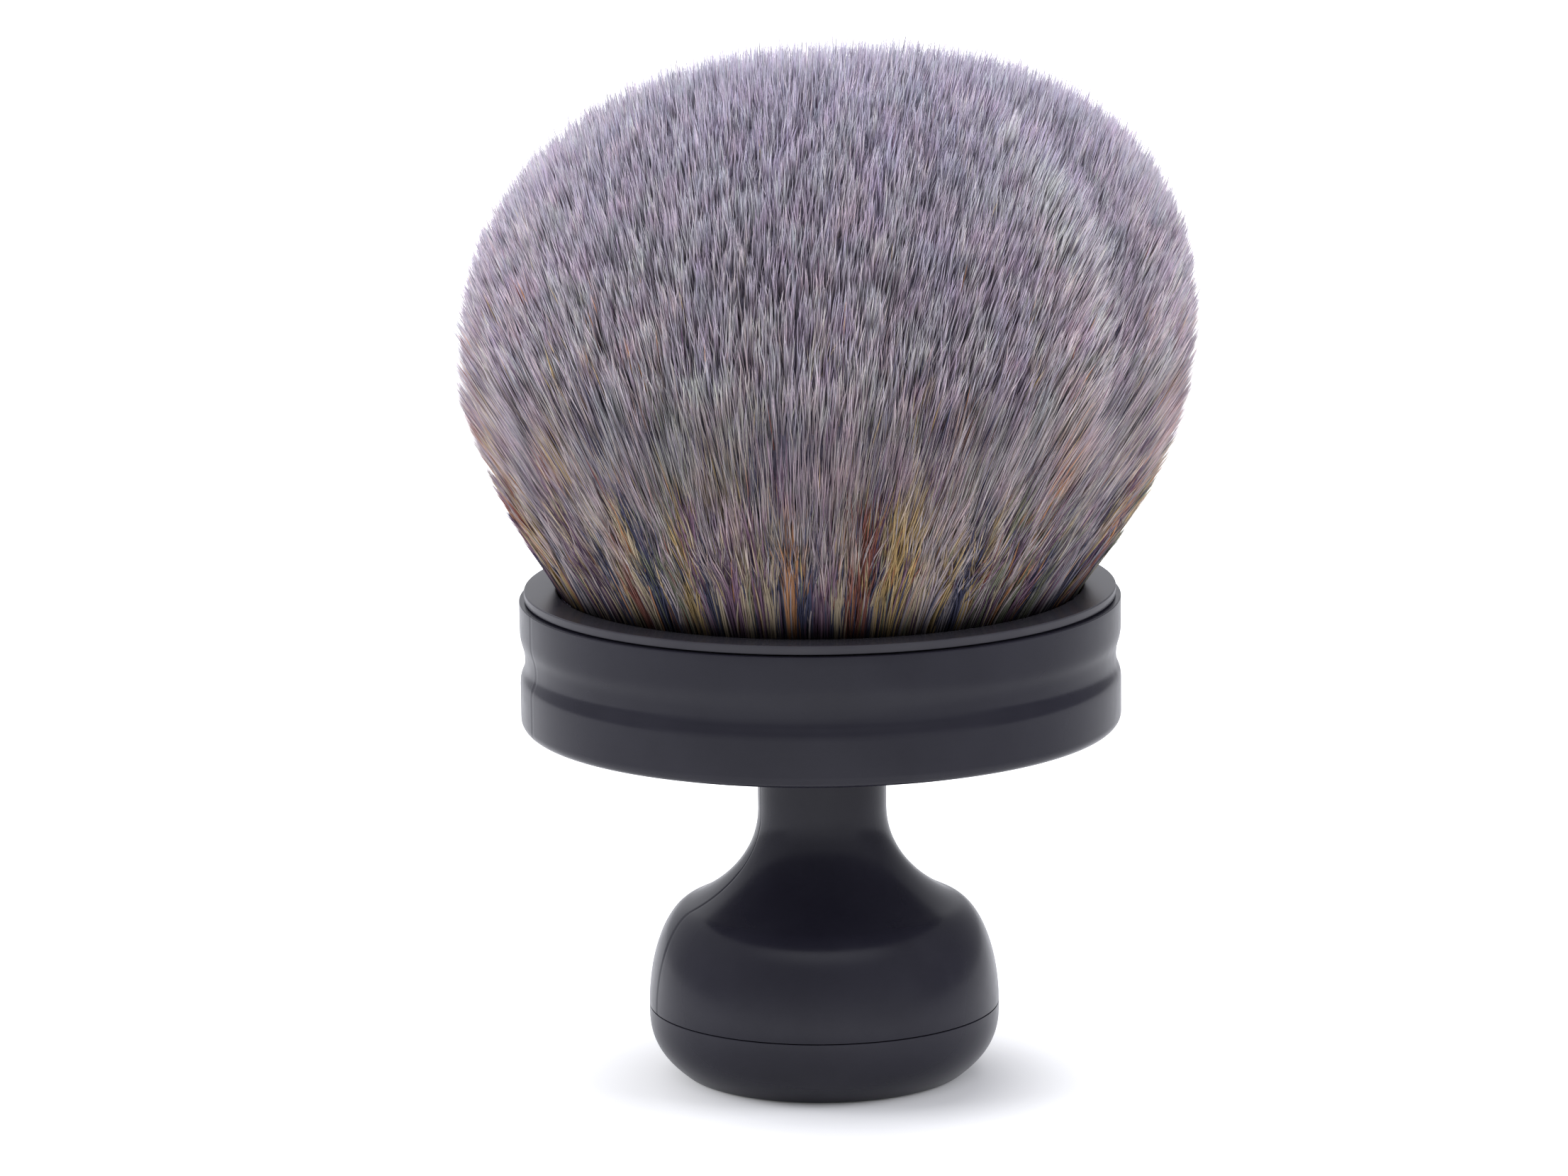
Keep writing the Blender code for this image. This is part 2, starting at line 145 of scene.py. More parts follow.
def smooth_mesh(bm, sharp_degrees=30):
    """A mesh with smooth shading that keeps its real edges."""
    mesh = bpy.data.meshes.new("piece")
    bm.to_mesh(mesh)
    bm.free()
    mesh.shade_smooth()
    mesh.set_sharp_from_angle(angle=math.radians(sharp_degrees))
    mesh.calc_loop_triangles()
    return mesh


# %% [markdown]
# ## Helpers for finishes
#
# Each finish is a small tree of nodes that ends in one Principled shader. Patterns read Object
# coordinates, in metres, so they have a real size and stay with the brush from every side. The helpers
# only add nodes, set their values and join them, which keeps each finish short enough to read.

# %% Node helpers
def new_finish(name, roughness, metallic=0.0, specular=0.5):
    """An empty finish: its material, its node tree and its shader."""
    material = bpy.data.materials.new(name)
    material.use_nodes = True
    tree = material.node_tree
    shader = tree.nodes["Principled BSDF"]
    shader.inputs["Roughness"].default_value = roughness
    shader.inputs["Metallic"].default_value = metallic
    shader.inputs["Specular IOR Level"].default_value = specular
    return material, tree, shader


def node(tree, kind, inputs=None, **settings):
    """Adds a node. An input is a plain value, or the output socket that feeds it."""
    made = tree.nodes.new(kind)
    for name, value in settings.items():
        setattr(made, name, value)
    for name, value in (inputs or {}).items():
        if isinstance(value, bpy.types.NodeSocket):
            tree.links.new(value, made.inputs[name])
        else:
            made.inputs[name].default_value = value
    return made


def ramp(tree, factor, stops, interpolation="LINEAR"):
    """A colour ramp from (place, grey or colour) stops. Gives its colour output."""
    made = node(tree, "ShaderNodeValToRGB", {"Fac": factor})
    band = made.color_ramp
    band.interpolation = interpolation
    while len(band.elements) < len(stops):
        band.elements.new(0.5)
    for element, (place, value) in zip(band.elements, stops):
        element.position = place
        element.color = (*value, 1) if isinstance(value, tuple) else (value, value, value, 1)
    return made.outputs["Color"]


def blended(tree, mode, factor, first, second):
    """Mixes two colours, each a value or a socket, and gives the result."""
    made = node(tree, "ShaderNodeMix", data_type="RGBA", blend_type=mode)
    # sockets 0, 6 and 7 of a Mix node are its factor and its colours, 2 and 3 its plain values
    for place, value in ((0, factor), (6, first), (7, second)):
        if isinstance(value, bpy.types.NodeSocket):
            tree.links.new(value, made.inputs[place])
        elif place:
            made.inputs[place].default_value = (*value, 1)
        else:
            made.inputs[place].default_value = value
    return made.outputs[2]


def reckoned(tree, operation, first, second):
    """Works out one sum on two values or sockets, and gives the result."""
    return node(tree, "ShaderNodeMath", {0: first, 1: second}, operation=operation).outputs["Value"]


def mixed(tree, factor, first, second):
    """Mixes two plain values or sockets, and gives the result."""
    return node(tree, "ShaderNodeMix", {0: factor, 2: first, 3: second}, data_type="FLOAT").outputs[0]


def spread(tree, value, low, high, kind="LINEAR"):
    """Gives 0 where the value is low, 1 where it is high, and what lies between."""
    made = node(tree, "ShaderNodeMapRange", {"Value": value, "From Min": low, "From Max": high},
                interpolation_type=kind)
    return made.outputs["Result"]


def grain(tree, size, detail=2, stretch=(1, 1, 1)):
    """Noise whose features are about size millimetres across, stretched along an axis if wanted."""
    place = node(tree, "ShaderNodeTexCoord").outputs["Object"]
    if stretch != (1, 1, 1):
        place = node(tree, "ShaderNodeMapping", {"Vector": place, "Scale": stretch}).outputs["Vector"]
    made = node(tree, "ShaderNodeTexNoise", {"Vector": place, "Scale": 1 / (size * MM), "Detail": detail})
    return made.outputs["Fac"]


def roughen(tree, shader, height, depth, strength):
    """A fine relief on the surface, its depth in millimetres."""
    bump = node(tree, "ShaderNodeBump", {"Height": height, "Distance": depth * MM, "Strength": strength})
    tree.links.new(bump.outputs["Normal"], shader.inputs["Normal"])


# %% [markdown]
# ## Satin black plastic
#
# The handle is moulded in black plastic with a fine spark-eroded grain, so it is neither matt nor
# glossy: its front is nearly black and its flanks catch a soft light. One could leave it a flat colour,
# but a real moulding has a very fine relief, a slight cloudiness in its gloss and faint differences in
# its black. Three noises of different size give those.

# %% Finish: satin black plastic
SPARK_GRAIN, SPARK_DEPTH, SPARK_STRENGTH = 0.2, 0.003, 0.3

satin_black, tree, shader = new_finish("satin_black", 0.22, specular=0.32)
colour = ramp(tree, grain(tree, 7), [(0.3, (0.0135, 0.0129, 0.0205)), (0.7, (0.0175, 0.0169, 0.0255))])
tree.links.new(colour, shader.inputs["Base Color"])
gloss = ramp(tree, grain(tree, 1.6, 4), [(0.25, 0.19), (0.75, 0.25)])
tree.links.new(gloss, shader.inputs["Roughness"])
roughen(tree, shader, grain(tree, SPARK_GRAIN), SPARK_DEPTH, SPARK_STRENGTH)
print("satin black plastic is ready")

# %% [markdown]
# The ring on top of the collar is a moulding of its own. It is the same black plastic as the handle, but the
# tuft shades it, so it gets a lighter black as painted light against that shade, and one steady gloss. The
# same grain covers both, because both moulds were sparked alike.

# %% Finish: the ring's plastic, a lighter black as painted light
lightened_ring_black, tree, shader = new_finish("lightened_ring_black", 0.26, specular=0.4)
# Painted light: this black is lighter than the handle's, to make up for the shade that the tuft casts on the
# ring.
colour = ramp(tree, grain(tree, 5), [(0.3, (0.038, 0.036, 0.045)), (0.7, (0.047, 0.045, 0.054))])
tree.links.new(colour, shader.inputs["Base Color"])
roughen(tree, shader, grain(tree, SPARK_GRAIN), SPARK_DEPTH, SPARK_STRENGTH)
print("ring plastic is ready")

# %% [markdown]
# ## Collar, neck and knob
#
# These three are one moulding. The collar is a shallow round shell with a soft groove about its middle,
# the neck leaves its underside with a small fillet, and a hollow curve leads down over the shoulder of
# the knob. Inside, the collar holds the cup, and the knob is hollow. The whole outline, inside and out,
# is turned in one go, so that the piece is closed and has its true walls.

# %% Sizes of the moulding, in millimetres
NECK_RADIUS, NECK_RISE, COLLAR_HEIGHT = 6.45, 9.65, 12.85
SHOULDER_STEP, SHOULDER_RISE, SHOULDER_SLOPE = 3.85, 10.2, math.radians(67)
SEAM_EDGE, SEAM_LEDGE, KNOB_EDGE_DROP = 0.07, 1.2, 0.12

body_low, body_high = (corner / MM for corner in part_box("handle_body"))
cup_low, cup_high = (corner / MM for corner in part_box("tuft_cup"))
cap_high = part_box("base_cap")[1] / MM
collar_radius, knob_radius, rim = body_high.x, cap_high.x, body_high.z
knob_edge = body_low.z - KNOB_EDGE_DROP
collar_bottom = rim - COLLAR_HEIGHT
shoulder = (knob_radius - SHOULDER_STEP, body_low.z + SHOULDER_RISE)
neck_top = (NECK_RADIUS, shoulder[1] + NECK_RISE)
print("collar radius", round(collar_radius, 2), "rim", round(rim, 2), "neck from", round(neck_top[1], 2))


# %% Outline of the moulding's outside
def knob_and_neck():
    """Up from the seam over the knob's shoulder, along the hollow curve and the neck."""
    pull, side_pull, neck_pull, fillet = SHOULDER_STEP * 0.63, 10.1 * 0.47, NECK_RISE * 0.58, 0.9
    inward, upward = pull * math.sin(SHOULDER_SLOPE), pull * math.cos(SHOULDER_SLOPE)
    side = [(knob_radius - SEAM_LEDGE, knob_edge), (knob_radius - SEAM_EDGE, knob_edge)]
    side += arc((knob_radius - SEAM_EDGE, knob_edge + SEAM_EDGE), SEAM_EDGE, SEAM_EDGE, -60, 0, 4)
    side += swell(side[-1], (0, side_pull), (inward, -upward), shoulder, 22)
    side += swell(shoulder, (-inward, upward), (0, -neck_pull), neck_top, 22)
    side += arc((NECK_RADIUS + fillet, collar_bottom - fillet), fillet, fillet, 180, 90, 8)
    return side


def collar_outside():
    """From the underside round the lower edge, over the groove, to the rim."""
    edge, lip, lip_level = 1.2, 0.12, rim + 0.06
    side = arc((collar_radius - edge, collar_bottom + edge), edge, edge, -90, 0, 10)
    start, deepest, end = [(collar_radius - dip, collar_bottom + COLLAR_HEIGHT * share)
                           for dip, share in ((0, 0.36), (0.50, 0.54), (0, 0.80))]
    side += swell(side[-1], (0, 1), (0, -1), start, 3)
    for lower, upper, steps in ((start, deepest, 10), (deepest, end, 12)):
        half_way = (upper[1] - lower[1]) / 2
        side += swell(lower, (0, half_way), (0, -half_way), upper, steps)
    side += swell(end, (0, 0.6), (0, -0.6), (collar_radius, lip_level), 3)
    side += arc((collar_radius - lip, lip_level), lip, lip, 15, 90, 4)
    return side


print("outside outline has", len(knob_and_neck()) + len(collar_outside()), "points")


# %% [markdown]
# A moulding is made in two half moulds, and where they meet they leave a fine line. On this handle it
# runs down one side of the collar, the neck and the knob, and down the far side as well, because the
# halves part in one plane through the axis. It shows as a dark line with a light one beside it, which a
# very shallow groove gives. A texture could draw it, but it catches the light as a real one only if it
# is there, so the mesh is cut along five close lines and the middle one is sunk by a few hundredths of
# a millimetre.

# %% Turn the moulding and sink its parting line
PARTING_DIRECTION, PARTING_HALF_WIDTH, PARTING_DEPTH = math.radians(180 + 17.3), 0.5, 0.035


def sink_parting_line(bm):
    """Cuts close lines along a plane through the axis and sinks the middle one into the outside."""
    across = Vector((-math.sin(PARTING_DIRECTION), math.cos(PARTING_DIRECTION), 0))
    for shift in (-2, -1, 0, 1, 2):
        everything = bm.verts[:] + bm.edges[:] + bm.faces[:]
        bmesh.ops.bisect_plane(bm, geom=everything, dist=0.0001 * MM, plane_no=across,
                               plane_co=across * shift * PARTING_HALF_WIDTH * MM)
    bm.normal_update()
    sunk = 0
    for vert in bm.verts:
        outward = Vector((vert.co.x, vert.co.y, 0)).normalized()
        on_the_line = abs(vert.co.dot(across)) < 0.001 * MM
        if on_the_line and vert.normal.dot(outward) > 0.25:
            vert.co -= vert.normal * PARTING_DEPTH * MM
            sunk += 1
    return sunk


SCREW_HOLE, KNOB_WALL, COLLAR_FLOOR, COLLAR_WALL = 1.8, 2.2, 2.2, 1.8
roof, spring, collar_floor = shoulder[1] - 1.0, cap_high.z + 0.3, collar_bottom + COLLAR_FLOOR
cavity, collar_inside = knob_radius - KNOB_WALL, collar_radius - COLLAR_WALL
inside = [(collar_inside, rim + 0.18), (collar_inside, collar_floor), (SCREW_HOLE, collar_floor)]
inside += [(SCREW_HOLE, roof)] + arc((cavity / 2, spring), cavity / 2, roof - spring, 90, 0, 14)
inside += [(cavity, knob_edge)]
body = turn(knob_and_neck() + collar_outside() + inside, closed=True)
print("parting line points:", sink_parting_line(body))
add_piece("collar_neck_and_knob", smooth_mesh(body), satin_black, "black_plastic", "handle_body")

# %% [markdown]
# ## Foot cap
#
# A separate cap closes the knob from below and gives the brush its flat foot. Where it meets the knob
# one sees a fine dark seam, because both edges are slightly rounded. The cap is cup-shaped, with a
# skirt that plugs into the knob, and its outside carries on the knob's own curve.

# %% Turn the foot cap
SEAM_LEVEL, CAP_EDGE_RISE, FOOT_STEP, FOOT_RISE, CAP_FLOOR = 6.80, 0.11, 3.5, 6.2, 1.8
foot_radius, cap_edge = knob_radius - FOOT_STEP, SEAM_LEVEL + CAP_EDGE_RISE
plug_outside, plug_inside = cavity - 0.3, cavity - 1.7
cap = [(0, 0), (foot_radius - 0.5, 0)]
cap += swell(cap[-1], (0.3, 0), (-0.25, -0.2), (foot_radius + 0.25, 0.2), 5)
cap += swell(cap[-1], (1.7, 1.35), (0, -FOOT_RISE / 2), (knob_radius, FOOT_RISE), 18)
cap += arc((knob_radius - SEAM_EDGE, cap_edge - SEAM_EDGE), SEAM_EDGE, SEAM_EDGE, 0, 60, 4)
cap += [(knob_radius - SEAM_LEDGE, cap_edge), (plug_outside, cap_edge), (plug_outside, cap_high.z)]
cap += [(plug_inside, cap_high.z), (plug_inside, CAP_FLOOR), (0, CAP_FLOOR)]
add_piece("foot_cap", smooth_mesh(turn(cap)), satin_black, "black_plastic", "base_cap")

# %% [markdown]
# ## Cup and ring
#
# The fibres are set in a cup that drops into the collar. All that shows of it is its flange, a flat
# black ring with a rounded outer edge and a fine seam below. It is turned as a whole cup, with the
# boss in its floor that takes the screw, so the brush can be taken apart in a drawing.

# %% Turn the cup and its ring
BOSS_RADIUS, BOSS_ROOF, CUP_FLOOR = 4.0, 1.0, 2.0
INNER_ROUND, UPPER_ROUND, LOWER_ROUND = 0.35, 0.16, 0.09
ring_top, ring_bottom, ring_radius = cup_high.z - 0.1, rim + 0.31, collar_radius - 0.5
cup_outside, cup_inside, cup_floor = collar_radius - 2.1, collar_radius - 3.9, cup_low.z + CUP_FLOOR
boss = ring_top - 3.6
cup = [(0, boss), (BOSS_RADIUS, boss), (BOSS_RADIUS, cup_floor), (cup_inside, cup_floor)]
cup += arc((cup_inside + INNER_ROUND, ring_top - INNER_ROUND), INNER_ROUND, INNER_ROUND, 180, 90, 6)
cup += arc((ring_radius - UPPER_ROUND, ring_top - UPPER_ROUND), UPPER_ROUND, UPPER_ROUND, 90, 0, 6)
cup += arc((ring_radius - LOWER_ROUND, ring_bottom + LOWER_ROUND), LOWER_ROUND, LOWER_ROUND, 0, -80, 4)
cup += [(cup_outside, ring_bottom), (cup_outside, cup_low.z), (SCREW_HOLE, cup_low.z)]
cup += [(SCREW_HOLE, boss - BOSS_ROOF), (0, boss - BOSS_ROOF)]
add_piece("cup_and_ring", smooth_mesh(turn(cup)), lightened_ring_black, "black_plastic", "tuft_cup")

# %% [markdown]
# ## The shape of the tuft
#
# The tuft is a dome on a flaring skirt. Every fibre stands somewhere on the root disc and runs up and
# outwards, nearly straight, like the ribs of a fan: those from the middle go straight up and end on the
# dome, and those from the rim lean out and end on the skirt, the outermost lowest. One function gives
# that course for any fibre and any share of its height, and the whole tuft follows from it. The real
# dome isn't quite even: it leans to the right, its left side is a little wider and fuller, and its skirt
# draws in sooner there, so the function changes a little round the axis.

# %% The course of a fibre
ROOT_DISC, RING_HOLE, ROOT_LEVEL = 25.7, 25.5, cup_high.z - 0.5
WIDEST_LEVEL, DOME_HEIGHT = 71.95, 31.9
DOME_TOP = WIDEST_LEVEL + DOME_HEIGHT
DOME_CROWD, LOWEST_TIP = 0.70, 0.34
LEAN_AT_TOP, LEAN_BEND = 4.38, 1.6
# a value in front and behind, and what it gains at the far right
WIDEST_RADIUS, DOME_FULLNESS = (37.15, -0.45), (2.42, -0.05)
SKIRT_FLARE, FIBRE_BEND = (1.43, 0.15), (1.03, 0.06)


def lean(level):
    """How far the tuft leans to the right at a level."""
    return LEAN_AT_TOP * np.clip((level - ROOT_LEVEL) / (DOME_TOP - ROOT_LEVEL), 0, None) ** LEAN_BEND


def course(share, around, rise):
    """Points in mm of fibres, from their share of the root disc's radius, their angle and their rise."""
    to_right = np.cos(around)
    widest, fullness, flare, bend = (middle + gain * to_right for middle, gain in (
        WIDEST_RADIUS, DOME_FULLNESS, SKIRT_FLARE, FIBRE_BEND))
    crowd = share**2
    inward = np.clip(1 - crowd / DOME_CROWD, 0, 1)
    down = np.clip((crowd - DOME_CROWD) / (1 - DOME_CROWD), 0, 1) * (1 - LOWEST_TIP)
    tip_radius = widest * np.sqrt(1 - inward**2) ** (2 / fullness)
    tip_radius = tip_radius - (widest - RING_HOLE) * down**flare
    tip_level = WIDEST_LEVEL + DOME_HEIGHT * inward ** (2 / fullness) - (WIDEST_LEVEL - ROOT_LEVEL) * down
    splay = 1 - np.clip(1 - rise, 0, 1) ** bend
    radius = ROOT_DISC * share + (tip_radius - ROOT_DISC * share) * splay
    level = ROOT_LEVEL + (tip_level - ROOT_LEVEL) * rise
    return np.stack([radius * to_right + lean(level), radius * np.sin(around), level], axis=-1)


print("top of the dome:", course(np.zeros(1), np.zeros(1), np.ones(1)).round(1))

# %% [markdown]
# How deep a point lies in the tuft decides two things: which part of a fibre is worth making, and how much
# painted shade it gets. The tips of all fibres form the tuft's skin. From a point inside, one measures
# straight out and straight up to that skin, and the distance to a slanting line through both follows.

# %% How deep a point lies
SKIN_POINTS, BACKWARDS = 240, math.pi / 2
skin = course(np.linspace(0, 1, SKIN_POINTS), np.full(SKIN_POINTS, BACKWARDS), 1.0)
skin = np.vstack([skin, [[0, RING_HOLE, ROOT_LEVEL]]])[::-1]
skin_radius, skin_level = skin[:, 1], skin[:, 2]
dome = skin_level >= WIDEST_LEVEL


def depth_at(radius, level):
    """Distance in mm from points inside the tuft to its skin."""
    roof_level = np.interp(radius, skin_radius[dome][::-1], skin_level[dome][::-1])
    out = np.clip(np.interp(level, skin_level, skin_radius) - radius, 0.001, None)
    over = np.clip(roof_level - level, 0.001, None)
    return out * over / np.hypot(out, over)


print("depth at the middle of the tuft:", depth_at(np.zeros(1), np.full(1, 75.0)).round(1), "mm")

# %% [markdown]
# ## Fibre finishes
#
# The fibre is a lilac grey, a little warmer towards the ring. There, single fibres and small bunches are
# dyed ochre, orange, rust, navy, plum, mauve or greenish grey. A picture wrapped round the tuft could
# not follow single fibres, so each one carries five numbers on its mesh instead: its own tone, its dye,
# its height above the ring, how deep it lies in the tuft, and how far the dye covers it at each level.
# The finish turns them into colour. It paints shade over what lies deep, and most of all over what lies just
# above the ring, where a dense tuft lies in its own shadow.

# %% Finish: lilac grey fibre with dyed roots
dyed_fibre, tree, shader = new_finish("dyed_fibre", 0.52, specular=0.35)
marks = node(tree, "ShaderNodeAttribute", attribute_name="fibre_marks", attribute_type="GEOMETRY")
parts = node(tree, "ShaderNodeSeparateColor", {"Color": marks.outputs["Color"]})
own_tone, dye, height = (parts.outputs[name] for name in ("Red", "Green", "Blue"))
dyed = node(tree, "ShaderNodeAttribute", attribute_name="dyed", attribute_type="GEOMETRY")
grey = ramp(tree, own_tone, [(0.0, (0.12, 0.11, 0.15)), (0.22, (0.40, 0.37, 0.47)),
                             (0.5, (0.66, 0.62, 0.79)), (1.0, (0.98, 0.94, 1.0))])
patch = ramp(tree, grain(tree, 3), [(0.36, (0.96, 1.0, 0.99)), (0.5, (1, 1, 1)), (0.64, (1.03, 0.96, 1.01))])
warmth = ramp(tree, height, [(0.1, (1, 0.90, 0.78)), (0.22, (1, 0.93, 0.845)), (0.42, (1, 0.96, 0.895)),
                             (0.68, (1, 0.975, 0.91)), (0.95, (1, 1, 0.98))])
tints = ramp(tree, dye, [(0.0, (1.05, 0.96, 1.02)), (0.3, (0.96, 1.01, 0.91)), (0.55, (1.0, 0.97, 1.06)),
                         (0.75, (1.06, 0.98, 0.93)), (1.0, (0.94, 1.02, 0.99))])
for tinge in (patch, warmth, tints):
    grey = blended(tree, "MULTIPLY", 1.0, grey, tinge)
dyes = ramp(tree, dye, [
    (0.00, (0.84, 0.71, 0.72)), (0.10, (0.08, 0.09, 0.19)), (0.23, (0.88, 0.62, 0.27)),
    (0.33, (0.38, 0.40, 0.28)), (0.42, (0.18, 0.09, 0.18)), (0.53, (0.90, 0.73, 0.50)),
    (0.63, (0.42, 0.24, 0.37)), (0.75, (0.86, 0.40, 0.17)), (0.82, (0.42, 0.14, 0.10)),
    (0.88, (0.54, 0.49, 0.55))], "CONSTANT")
colour = blended(tree, "MIX", dyed.outputs["Fac"], grey, dyes)
# Painted shade: darker the deeper a point lies, and darkest just above the ring.
depth_shade = ramp(tree, marks.outputs["Alpha"], [(0.0, 1.0), (0.15, 0.93), (0.4, 0.66), (0.7, 0.4),
                                                  (1.0, 0.22)])
root_shade = ramp(tree, height, [(0.0, 0.05), (0.02, 0.10), (0.045, 0.27), (0.09, 0.49), (0.15, 0.70),
                                 (0.25, 0.87), (0.38, 1.0)])
for shade in (depth_shade, root_shade):
    colour = blended(tree, "MULTIPLY", 1.0, colour, shade)
tree.links.new(colour, shader.inputs["Base Color"])
print("fibre finish is ready")

# %% [markdown]
# ## The heart of the tuft
#
# Between the fibres one never sees through, because thousands of them stand behind each other. Making all of
# these would be wasteful. A solid heart stands in for the ones that are never seen, a few millimetres below
# the surface and less deep near the ring. Its dark colour is painted shade: those fibres are the same lilac
# grey, but lie in the tuft's own shadow. It stands on the slice of set resin that holds the roots, and its
# outline is read from the same course as the fibres.

# %% Finish and shape of the heart
shaded_heart_fibre, tree, shader = new_finish("shaded_heart_fibre", 0.8, specular=0.1)
# Painted shade: a dark streaky colour, where the same fibres would lie in the tuft's own shadow.
streaks = ramp(tree, grain(tree, 0.3, stretch=(1, 1, 0.08)),
               [(0.3, (0.10, 0.09, 0.12)), (0.7, (0.26, 0.24, 0.31))])
tree.links.new(streaks, shader.inputs["Base Color"])

HEART_DEPTH, HEART_MIDDLE = 3.2, np.array([0.0, 62.0])
SLICE_PLAY, SLICE_THICKNESS = 4.2, 1.3
slice_radius, slice_bottom = collar_radius - SLICE_PLAY, ROOT_LEVEL - SLICE_THICKNESS
outline = [(0, slice_bottom), (slice_radius, slice_bottom), (slice_radius, ROOT_LEVEL)]
for point in skin[::6, 1:]:
    inward = (HEART_MIDDLE - point) / np.linalg.norm(HEART_MIDDLE - point)
    depth = HEART_DEPTH * min(1, 0.35 + (point[1] - ROOT_LEVEL) / 22)
    radius, level = point + inward * depth
    outline.append((max(radius, 0), max(level, ROOT_LEVEL)))
outline.append((0, outline[-1][1]))
heart = turn(outline, steps=72)
for vert in heart.verts:
    vert.co.x += lean(vert.co.z / MM) * MM
add_piece("tuft_heart", smooth_mesh(heart, 50), shaded_heart_fibre, "fibre", "bristle_tuft")


# %% [markdown]
# ## One fibre, and a bundle of copies
#
# A single fibre is a slim three-sided spike: thick enough at its foot, and drawn out to a fine tip. It
# is cut from a cone, whose sides are cut across at a few levels so that it can bend, and each level gets
# its own thickness. An Array modifier then repeats it thousands of times in a row. Every copy is moved
# to its place afterwards, all at once, because moving them one by one would take minutes.

# %% Model one fibre and repeat it
SAME_PLACE = 0.0001
UV_LEFT, UV_WIDE, UV_FOOT, UV_TALL = 0.06, 0.88, 0.12, 0.82


def one_fibre(levels, thickness):
    """A three-sided spike of height 1, as thick as asked at its foot, at each level and at its tip."""
    bm = bmesh.new()
    bmesh.ops.create_cone(bm, cap_ends=True, segments=3, radius1=0.5, radius2=0, depth=1)
    bmesh.ops.translate(bm, vec=(0, 0, 0.5), verts=bm.verts)
    bmesh.ops.remove_doubles(bm, verts=bm.verts, dist=SAME_PLACE)
    for level in levels:
        bmesh.ops.bisect_plane(bm, geom=bm.verts[:] + bm.edges[:] + bm.faces[:], dist=SAME_PLACE,
                               plane_co=(0, 0, level), plane_no=(0, 0, 1))
    for vert in bm.verts:
        across = vert.co.xy.length
        if across > SAME_PLACE:
            wanted = 0.5 * np.interp(vert.co.z, [0, *levels, 1], thickness)
            vert.co.x *= wanted / across
            vert.co.y *= wanted / across
    bmesh.ops.recalc_face_normals(bm, faces=bm.faces)
    return bm


def thirds_round(point):
    """How far round the axis a point lies, in thirds of a turn."""
    return ((math.atan2(point.y, point.x) / math.tau) % 1) * 3


def unfold(bm):
    """A UV map of one fibre: its three sides stand side by side, and its foot lies below them."""
    layer = bm.loops.layers.uv.new("OFBake")
    for face in bm.faces:
        side = int(thirds_round(face.calc_center_median()) + 0.5) % 3
        for loop in face.loops:
            point = loop.vert.co
            if abs(face.normal.z) > 0.9:
                loop[layer].uv = (0.5 + point.x * 0.1, 0.04 + point.y * 0.06)
                continue
            on_axis = point.xy.length < SAME_PLACE
            place = 0.5 if on_axis else thirds_round(point) - side + 0.5
            across = side + min(max(place % 3, 0), 1)
            loop[layer].uv = (UV_LEFT + UV_WIDE * across / 3, UV_FOOT + UV_TALL * point.z)
    return bm


COPY_STEP = 2


def bundle(bm, count):
    """A mesh of count copies of a fibre, one after the other."""
    mesh = bpy.data.meshes.new("fibre")
    bm.to_mesh(mesh)
    bm.free()
    mesh.shade_smooth()
    sample = bpy.data.objects.new("fibre", mesh)
    bpy.context.scene.collection.objects.link(sample)
    row = sample.modifiers.new("row", "ARRAY")
    row.use_relative_offset, row.use_constant_offset = False, True
    row.constant_offset_displace, row.count = (COPY_STEP, 0, 0), count
    bundled = bpy.data.meshes.new_from_object(sample.evaluated_get(bpy.context.evaluated_depsgraph_get()))
    bpy.data.objects.remove(sample)
    return bundled


# %% [markdown]
# ## Where the fibres stand, and how they stray
#
# The roots are spread evenly over the root disc, ring by ring, at a chance angle. No fibre follows its
# course exactly. Neighbours cling together in little wisps: one fibre in fourteen leads, the ones round
# its tip are drawn towards it, and the whole wisp leans and sinks a little by chance. On top of it each
# fibre strays a little by itself. Low on the skirt the fibres are looser, so all this grows there.
#
# All chance comes from numbered series, so the brush is the same each time the cells are run. This first
# series gives everything but the fields of dye, which have two of their own.

# %% Draw the roots and gather the tips in wisps
FIBRES, FIBRES_IN_A_WISP = 110000, 14
WISP_LEAN, WISP_PULL, OWN_STRAY, SIDE_STRAY = 0.18, 0.22, 0.2, 0.3
chance = np.random.default_rng(21)
share = np.sqrt((np.arange(FIBRES) + chance.uniform(0, 1, FIBRES)) / FIBRES)
around = chance.uniform(-math.pi, math.pi, FIBRES)
tips = course(share, around, 1.0)
low = np.clip((84 - tips[:, 2]) / 22, 0, 1)
top = np.clip((tips[:, 2] - 86) / 14, 0, 1)


def leader_of(tips, leaders):
    """For each tip, the number of the nearest leading tip."""
    tree = kdtree.KDTree(len(leaders))
    for number, leader in enumerate(leaders):
        tree.insert(tips[leader], number)
    tree.balance()
    return np.array([tree.find(tip)[1] for tip in tips])


leaders = chance.choice(FIBRES, FIBRES // FIBRES_IN_A_WISP, replace=False)
wisp = leader_of(tips, leaders)
wisp_lean = chance.normal(0, WISP_LEAN, (len(leaders), 3))[wisp] * (1 + 1.8 * low[:, None])
drift = (WISP_PULL + WISP_PULL * low[:, None]) * (tips[leaders][wisp] - tips) + wisp_lean
outward = np.stack([np.cos(around), np.sin(around), 0 * around], axis=-1)
drift -= 0.6 * np.clip((drift * outward).sum(axis=1), 0, None)[:, None] * outward
sideways = np.stack([-np.sin(around), np.cos(around), 0 * around], axis=-1)
stray = chance.normal(0, OWN_STRAY, (FIBRES, 3)) * (1 + 0.5 * low[:, None])
stray += (chance.normal(0, SIDE_STRAY, FIBRES) * (1 + 1.7 * low))[:, None] * sideways
stray *= np.clip((tips[:, 2] - ROOT_LEVEL) / 20, 0.3, 1)[:, None]
stray -= (0.7 * low * np.clip((stray * outward).sum(axis=1), 0, None))[:, None] * outward
print(len(leaders), "wisps, which shift the tips by", np.abs(drift).mean().round(2), "mm on average")

